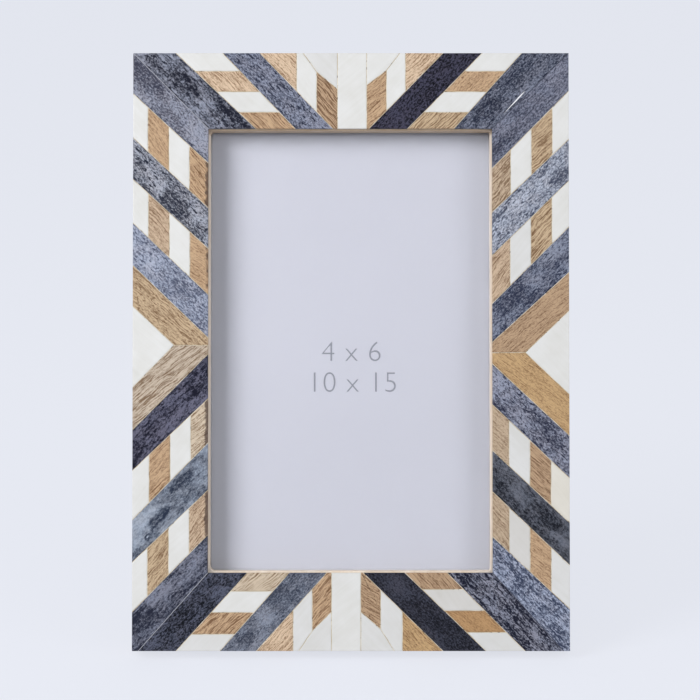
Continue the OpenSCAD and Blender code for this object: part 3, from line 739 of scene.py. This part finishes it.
def lipWoodWithPaintedShade():  # the top of the window's lip is darkened with painted shade, where its inner wall faces down
    material, tree, shader, look = boardWood("boardWood", bodyLook["upright"], *bodyLook["lip"])
    spot = add(tree, "SeparateXYZ", {0: objectPlace(tree)}).outputs
    # Painted shade: a band along the top of the window's lip, tinted darker and browner.
    away = calc(tree, "SUBTRACT", spot[2], lowFoot + stand["height"] - bodyLook["topLip"])
    brown = step(tree, calc(tree, "ABSOLUTE", away), *bodyLook["paintedShadeReach"])
    inside = calc(tree, "LESS_THAN", calc(tree, "ABSOLUTE", spot[0]), bodyLook["inside"])
    fill(tree, shader, {"Base Color": blendColours(
        tree, times(tree, brown, inside), look["Color"], bodyLook["scorchAndPaintedShade"], "MULTIPLY")})
    return material


def makeBody():
    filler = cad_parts["resin_filler"]
    filler.data.materials.clear()
    filler.data.materials.append(fillerMaterial())
    settle(rounded("frontBoard", "front_board", bodyLook["lipEase"], 3), lipWoodWithPaintedShade(),
           "frame")
    for name, sides in (("upright", ("left", "right")), ("level", ("top", "bottom"))):
        wood = boardWood(f"railWood{name.title()}", bodyLook[name], *bodyLook["rail"])[0]
        for side in sides:
            settle(rounded(f"{side}Rail", f"{side}_rail", bodyLook["ease"]), wood,
                   "frame")


makeBody()
print("stage: body")

glassLook = {"colour": (249, 251, 252), "clear": (0.97, 0.98, 0.98, 1), "ease": 0.15}


def makeGlass():
    material, tree, shader = newMaterial("floatGlass", {
        "Base Color": tint(*glassLook["colour"]), "Roughness": 0.02, "IOR": 1.5,
        "Transmission Weight": 1.0})
    smear = step(tree, rough(tree, objectPlace(tree), 0.02, 4, 0.6), 0.0, 0.3)
    fill(tree, shader, {"Roughness": times(tree, smear, 0.05)})
    clear = add(tree, "BsdfTransparent", {0: glassLook["clear"]})
    shade = add(tree, "MixShader", {0: add(tree, "LightPath").outputs["Is Shadow Ray"],
                                    1: shader.outputs[0], 2: clear.outputs[0]})
    fill(tree, tree.nodes["Material Output"], {0: shade.outputs[0]})
    settle(rounded("glassPane", "glass_pane", glassLook["ease"]), material, "frame")


# Sheet that comes in the frame, with the print's size in figures. They are thinned, in metres.
sheetLook = {"paper": (192, 190, 200), "paperRange": 4, "ink": (126, 126, 136), "inkRange": 6,
             "inkUp": 0.02, "sink": 0.04, "behind": 10.0, "height": 7.4, "emHeight": 1.36,
             "thinned": -0.00019, "weld": 0.0005,
             "figures": [("4 x 6", 73.2, 100.2), ("10 x 15", 73.6, 110.6)]}


def around(tree, tone, colour, reach):  # a tone a little darker and a little lighter than a colour
    return blendColours(tree, tone, tint(*(c - reach for c in colour)),
                        tint(*(c + reach for c in colour)))


def paperMaterial():
    material, tree, shader = newMaterial("sheetPaper", {"IOR": 1.45})
    place = objectPlace(tree)
    fibre, wide = rough(tree, place, 3.0, 3, 0.6), rough(tree, place, 0.02, 2, 0.5)
    tone = level(tree, 0.5, (fibre, 0.5), (wide, 0.8), clamp=True)
    finishSurface(tree, shader, {
        "Color": around(tree, tone, sheetLook["paper"], sheetLook["paperRange"]),
        "Roughness": calc(tree, "ADD", 0.5, fibre), "Height": fibre}, 0.02, 0.4)
    return material


def inkMaterial():
    material, tree, shader = newMaterial("greyInk", {"IOR": 1.45})
    mottle = rough(tree, objectPlace(tree), 2.0, 2, 0.5)
    tone = calc(tree, "ADD", 0.5, mottle, clamp=True)
    fill(tree, shader, {
        "Base Color": around(tree, tone, sheetLook["ink"], sheetLook["inkRange"]),
        "Roughness": calc(tree, "ADD", 0.45, mottle)})
    return material


def makeSheet():
    sheet = copyOf("insertSheet", "photo_insert")
    edit(sheet)
    pick(sheet, "FACE", facesFront)
    bpy.ops.transform.translate(value=rearWay * sheetLook["sink"] * mm)
    leave()
    settle(sheet, paperMaterial(), "frame")
    ink = inkMaterial()
    for number, (words, across, down) in enumerate(sheetLook["figures"]):
        alone()
        bpy.ops.object.text_add()
        letters = added(f"printedFigures{number + 1}")
        letters.data.body = words
        letters.data.size = sheetLook["height"] * mm * sheetLook["emHeight"]
        letters.data.align_x, letters.data.align_y = "CENTER", "CENTER"
        letters.data.offset = sheetLook["thinned"]
        letters.data.extrude = sheetLook["inkUp"] * mm / 2
        bpy.ops.object.convert(target="MESH")
        letters = bpy.context.object
        turn = Matrix((Vector((1, 0, 0)), upWay, -rearWay)).transposed().to_4x4()
        back = sheetLook["behind"] + sheetLook["sink"] - sheetLook["inkUp"] / 2
        letters.data.transform(Matrix.Translation(placeOf(across, down, back)) @ turn)
        edit(letters, "SELECT")
        bpy.ops.mesh.remove_doubles(threshold=sheetLook["weld"] * mm)
        leave()
        settle(letters, ink, "frame")


makeGlass()
makeSheet()
print("stage: glass and sheet")

# Back: flocked board and leg, hinge, ribbon, buttons and hanger


def flockMaterial():
    material, tree, shader = newMaterial("blackFlock", {
        "Roughness": 0.95, "Sheen Weight": 0.35, "Sheen Roughness": 0.45,
        "Sheen Tint": (0.55, 0.56, 0.6, 1)})
    place = objectPlace(tree)
    pile = rough(tree, place, 6.0, 2, 0.6)
    brushed = rough(tree, place, 0.07, 4, 0.6, (1, 1, 0.6), 0.5)
    tone = level(tree, 0.45, (pile, 1.1), (brushed, 1.2), clamp=True)
    finishSurface(tree, shader, {
        "Color": blendColours(tree, tone, tint(16, 16, 18), tint(44, 44, 48)),
        "Roughness": calc(tree, "ADD", 0.9, pile),
        "Height": total(tree, (pile, 1.0), (brushed, 0.3))}, 0.12)
    return material


def metalMaterial(name, clean, worn, dullness):
    material, tree, shader = newMaterial(name, {"Metallic": 1.0})
    look = useGroup(tree, groups["metal"], {"Place": objectPlace(tree), "Clean": tint(*clean),
                                            "Worn": tint(*worn), "Dullness": dullness})
    finishSurface(tree, shader, look, 0.008, 0.7)
    return material


# Ribbon that stops the leg, glued flat to the backing and to the leg, with a soft bend at each end.
# Rows are those of its mesh along it; ribs and threads are the weave.
ribbonFit = {"width": 10.0, "thick": 0.34, "tab": 10.0, "middle": 72.75, "pinBack": 1.4,
             "pinUp": 118.0, "open": math.radians(25), "boardFace": -0.1, "boardUp": 48.0,
             "legReach": 62.0, "legFace": -0.9, "rows": 44, "tabRows": 6, "columns": 8,
             "curl": 0.12, "ribs": 0.9, "threads": 0.32, "smooth": 60}


def ribbonMaterial():
    material, tree, shader = newMaterial("ribbonWeave", {"Sheen Weight": 0.3,
                                                         "Sheen Roughness": 0.4})
    place = add(tree, "UVMap", uv_map="weave").outputs[0]
    parts = add(tree, "SeparateXYZ", {0: place}).outputs
    ribs, threads = (calc(tree, "SINE", times(tree, parts[k], 2 * math.pi / ribbonFit[name]))
                     for k, name in ((1, "ribs"), (0, "threads")))
    fuzz = rough(tree, place, 2.5, 3, 0.6)
    tone = level(tree, 0.45, (ribs, 0.28), (threads, 0.12), (fuzz, 0.6), clamp=True)
    finishSurface(tree, shader, {
        "Color": blendColours(tree, tone, tint(14, 14, 16), tint(56, 56, 62)),
        "Roughness": level(tree, 0.62, (fuzz, 0.4), (ribs, -0.08)),
        "Height": total(tree, (ribs, 0.5), (threads, 0.3))}, 0.1)
    return material


def ribbonLine():
    # Points (depth, height) of the ribbon at rest. Folded shut it lies straight between board and
    # leg, so each point is turned open about the pin by the share with which it follows the leg.
    f = ribbonFit
    lowEnd = (f["boardFace"] - f["pinBack"], f["boardUp"] - f["pinUp"])
    topEnd = (f["legFace"] * math.cos(f["open"]) + f["legReach"] * math.sin(f["open"]),
              f["legFace"] * math.sin(f["open"]) - f["legReach"] * math.cos(f["open"]))
    rise = topEnd[1] - lowEnd[1]
    closedLow = math.atan2(lowEnd[0], -lowEnd[1])
    closedTop = math.atan2(topEnd[0], -topEnd[1]) - f["open"]
    points = []
    for k in range(f["rows"] + 1):
        share = k / f["rows"]
        follow = share * share * (3 - 2 * share)
        angle = closedLow + (closedTop - closedLow) * share + f["open"] * follow
        height = lowEnd[1] + rise * share
        points.append((-height * math.tan(angle), height))
    tab, rows = f["tab"], f["tabRows"]
    points = [(points[0][0], points[0][1] - tab * (rows - i) / rows) for i in range(rows)] + points
    alongLeg = (-math.sin(f["open"]), math.cos(f["open"]))
    points += [(topEnd[0] + alongLeg[0] * tab * i / rows, topEnd[1] + alongLeg[1] * tab * i / rows)
               for i in range(1, rows + 1)]
    return [(y + f["pinBack"], z + f["pinUp"]) for y, z in points], rise


def makeRibbon():
    f = ribbonFit
    line, rise = ribbonLine()
    run = [0.0]
    for a, b in zip(line, line[1:]):
        run.append(run[-1] + math.dist(a, b))
    alone()
    bpy.ops.mesh.primitive_grid_add(x_subdivisions=f["columns"], y_subdivisions=len(line) - 1,
                                    size=1)
    ribbon = added("ribbonStay")
    weave = ribbon.data.uv_layers.new(name="weave")
    places, tab = {}, f["tabRows"]
    for vertex in ribbon.data.vertices:  # row of the grid to its point on the line
        row = round((vertex.co.y + 0.5) * (len(line) - 1))
        across = vertex.co.x * f["width"]
        places[vertex.index] = (across, run[row])
        curl = f["curl"] * (2 * across / f["width"]) ** 2  # edges curl back a little
        free = min(1.0, max(0.0, min(row + 1 - tab, len(line) - tab - row) / tab))
        y, z = line[row]
        vertex.co = placeOf(f["middle"] + across, stand["height"] - z,
                            y + stand["depth"] + curl * free)
    for loop in ribbon.data.loops:
        weave.data[loop.index].uv = places[loop.vertex_index]
    modify(ribbon, "SOLIDIFY", thickness=f["thick"] * mm, offset=0.0, use_even_offset=True)
    smooth(ribbon, f["smooth"])
    settle(ribbon, ribbonMaterial(), None)
    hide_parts("ribbon_stay")
    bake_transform(ribbon)
    print(f"ribbon {run[-1]:.1f} mm long")


ringFit = {"half": 7.0, "long": 13.0, "wire": 0.75, "bend": 1.3, "arc": 8, "round": 5, "smooth": 60}


def makeRing(metal):
    # Triangle of wire with bent corners, its ends meeting inside the strap's loop
    low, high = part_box("hanger_ring")
    top = Vector(((low.x + high.x) / 2, (low.y + high.y) / 2, high.z - ringFit["wire"] * mm)) / mm
    corners = [Vector(spot) for spot in (
        (ringFit["half"], 0), (0, -ringFit["long"]), (-ringFit["half"], 0))]
    path = [Vector((0, 0))]
    for k, corner in enumerate(corners):
        before = (corners[k - 1] - corner).normalized()
        after = (corners[(k + 1) % 3] - corner).normalized()
        gape = before.angle(after)
        reach = ringFit["bend"] / math.tan(gape / 2)
        centre = corner + (before + after).normalized() * ringFit["bend"] / math.sin(gape / 2)
        first = corner + before * reach - centre
        last = corner + after * reach - centre
        path += [centre + first.slerp(last, i / ringFit["arc"]) for i in range(ringFit["arc"] + 1)]
    alone()
    bpy.ops.curve.primitive_bezier_curve_add()
    wire = added("hangerRing")
    wire.data.splines.clear()
    line = wire.data.splines.new("POLY")
    line.points.add(len(path) - 1)
    for point, spot in zip(line.points, path):
        point.co = ((top.x + spot.x) * mm, top.y * mm, (top.z + spot.y) * mm, 1)
    line.use_cyclic_u = True
    wire.data.dimensions, wire.data.bevel_depth = "3D", ringFit["wire"] * mm
    wire.data.bevel_resolution = ringFit["round"]
    bpy.ops.object.convert(target="MESH")
    wire = bpy.context.object
    smooth(wire, ringFit["smooth"])
    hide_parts("hanger_ring")
    settle(wire, metal, "ring")


backPieces = {  # node, rounding of the edges in mm and its segments, slot and body
    "backingBoard": ("backing_board", 0.3, 2, "flocking", "frame"),
    "easelLeg": ("easel_leg", 0.4, 3, "flocking", "leg"),
    "hingeBoardLeaf": ("hinge_board_leaf", 0.08, 2, "steel", "frame"),
    "hingeLegLeaf": ("hinge_leg_leaf", 0.08, 2, "steel", "leg"),
    "hingePin": ("hinge_pin", 0.12, 2, "steel", "frame"),
    "boardRivets": ("board_rivets", 0.16, 3, "steel", "frame"),
    "legRivets": ("leg_rivets", 0.16, 3, "steel", "leg"),
    **{f"turnButton{k}": (f"turn_button_{k}", 0.2, 3, "brass", f"button_{k}") for k in range(1, 5)},
    "turnButtonScrews": ("turn_button_screws", 0.07, 2, "brass", "frame"),
    "hangerStrap": ("hanger_strap", 0.12, 2, "brass", "frame"),
    "hangerScrew": ("hanger_screw", 0.06, 2, "brass", "frame"),
}


def makeBack():
    finishes = {"flocking": flockMaterial(),
                "steel": metalMaterial("nickelSteel", (214, 214, 214), (168, 166, 162), 0.3),
                "brass": metalMaterial("brassPlate", (222, 190, 126), (170, 136, 84), 0.24)}
    for name, (node, width, segments, slot, body) in backPieces.items():
        settle(rounded(name, node, width, segments), finishes[slot], body)
    makeRing(finishes["brass"])
    makeRibbon()


makeBack()
print("stage: back")

# Floor, light and camera. A lamp stands across, up and in front of the face's middle, in metres.

setting = {"ground": (229, 232, 241), "plain": 1.07, "share": 0.82, "world": 0.5, "floor": 24,
           "lamps": {"keyLamp": (9.0, 0.6, (-0.85, 0.45, 0.9)),
                     "fillLamp": (4.0, 0.7, (1.1, 0.25, 1.15))},
           "camera": (-0.000637, -0.889399, 0.290992), "aim": (-0.00032, -0.009733, 0.10076),
           "lens": 138.446, "sensor": 36}


def seenStraight(tree):
    # 1 for rays from the camera, also by way of metal and glass, 0 for light on the object
    path = add(tree, "LightPath").outputs
    seen = calc(tree, "MAXIMUM", calc(tree, "MAXIMUM", path["Is Camera Ray"],
                                      path["Is Glossy Ray"]), path["Is Transmission Ray"])
    return times(tree, seen, calc(tree, "LESS_THAN", path["Diffuse Depth"], 0.5))


def makeRoom():
    alone()
    bpy.ops.mesh.primitive_plane_add(size=setting["floor"])
    floor = added("floor")
    ground = tint(*setting["ground"])
    material, tree, shader = newMaterial("paleFloor", {"Base Color": ground, "Roughness": 0.9})
    plain = add(tree, "Emission", {0: ground, 1: setting["plain"]})
    mixed = add(tree, "MixShader", {0: times(tree, seenStraight(tree), setting["share"]),
                                    1: shader.outputs[0], 2: plain.outputs[0]})
    fill(tree, tree.nodes["Material Output"], {0: mixed.outputs[0]})
    floor.data.materials.append(material)
    world = bpy.data.worlds.new("paleRoom")
    bpy.context.scene.world = world
    world.use_nodes = True
    tree = world.node_tree
    lit = fill(tree, tree.nodes["Background"], {0: (1, 1, 1, 1), 1: setting["world"]})
    shown = add(tree, "Background", {0: ground, 1: 1.0})
    mixed = add(tree, "MixShader", {0: seenStraight(tree), 1: lit.outputs[0],
                                    2: shown.outputs[0]})
    fill(tree, tree.nodes["World Output"], {0: mixed.outputs[0]})


def placed(name, data):
    made = bpy.data.objects.new(name, data)
    bpy.context.scene.collection.objects.link(made)
    return made


def lookAt(thing, target):
    thing.rotation_euler = (target - thing.location).to_track_quat("-Z", "Y").to_euler()


def makeSetting():
    makeRoom()
    middle = placeOf(stand["width"] / 2, stand["height"] / 2)
    for name, (power, size, (across, up, front)) in setting["lamps"].items():
        lamp = bpy.data.lights.new(name, "AREA")
        lamp.energy, lamp.size = power, size
        stood = placed(name, lamp)
        stood.location = middle + Vector((across, 0, 0)) + upWay * up - rearWay * front
        lookAt(stood, middle)
    camera = placed("camera", bpy.data.cameras.new("camera"))
    camera.location = setting["camera"]
    lookAt(camera, Vector(setting["aim"]))
    camera.data.lens, camera.data.sensor_width = setting["lens"], setting["sensor"]
    bpy.context.scene.camera = camera
    bpy.context.scene.view_settings.view_transform = "Standard"


makeSetting()
print("stage: floor, light and camera")
